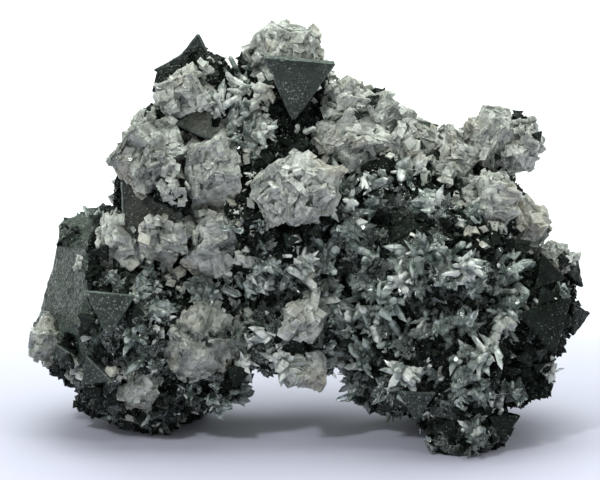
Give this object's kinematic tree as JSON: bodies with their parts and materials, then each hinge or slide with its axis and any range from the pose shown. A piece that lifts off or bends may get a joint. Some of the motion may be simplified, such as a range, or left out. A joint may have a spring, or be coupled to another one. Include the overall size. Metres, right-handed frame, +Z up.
{
  "type": "mineral specimen",
  "caption": "Tennantite specimen: dark tetrahedral crystals with cream carbonate rhombs and quartz prisms on dark matrix, standing on two lobes with an open arch between them.",
  "frame": {"origin": "on the resting surface, under the middle of the specimen's bounding box", "axes": "+Z up, +X to the right as seen from the front along the long side, and +Y towards the back; the front, with the arch below the crown crystal, faces -Y"},
  "size_m": [0.0842, 0.0394, 0.0615],
  "materials": {
    "matrix": "matte",
    "tennantite": "satin",
    "carbonate": "satin",
    "quartz": "gloss"
  },
  "bodies": {
    "root": {"carbonate_arch": "carbonate", "carbonate_back_centre": "carbonate", "carbonate_back_crown": "carbonate", "carbonate_back_lobe": "carbonate", "carbonate_back_right": "carbonate", "carbonate_centre": "carbonate", "carbonate_crown": "carbonate", "carbonate_knob": "carbonate", "carbonate_knob_side": "carbonate", "carbonate_left_centre": "carbonate", "carbonate_left_foot": "carbonate", "carbonate_left_middle": "carbonate", "carbonate_left_shoulder": "carbonate", "carbonate_left_tip": "carbonate", "carbonate_left_upper": "carbonate", "carbonate_lobe": "carbonate", "carbonate_low": "carbonate", "carbonate_middle": "carbonate", "carbonate_peak": "carbonate", "carbonate_ridge": "carbonate", "carbonate_ridge_end": "carbonate", "carbonate_right_shoulder": "carbonate", "carbonate_right_tip": "carbonate", "carbonate_slope": "carbonate", "carbonate_spur": "carbonate", "carbonate_under_knob": "carbonate", "carbonate_upper_centre": "carbonate", "matrix": "matrix", "quartz_back": "quartz", "quartz_centre": "quartz", "quartz_cross": "quartz", "quartz_foot": "quartz", "quartz_left_slope": "quartz", "quartz_low_right": "quartz", "quartz_peak": "quartz", "quartz_right": "quartz", "quartz_right_long": "quartz", "tennantite_arch": "tennantite", "tennantite_back_left": "tennantite", "tennantite_back_right": "tennantite", "tennantite_back_top": "tennantite", "tennantite_brown": "tennantite", "tennantite_centre_low": "tennantite", "tennantite_crown": "tennantite", "tennantite_foot": "tennantite", "tennantite_front": "tennantite", "tennantite_lobe_lower": "tennantite", "tennantite_lobe_small": "tennantite", "tennantite_lobe_upper": "tennantite", "tennantite_lower_right": "tennantite", "tennantite_peak": "tennantite", "tennantite_recess": "tennantite", "tennantite_right_large": "tennantite", "tennantite_right_middle": "tennantite", "tennantite_right_rim": "tennantite", "tennantite_right_tip": "tennantite", "tennantite_right_upper": "tennantite", "tennantite_saddle": "tennantite", "tennantite_shaded": "tennantite", "tennantite_under_peak": "tennantite"}
  },
  "joints": []
}
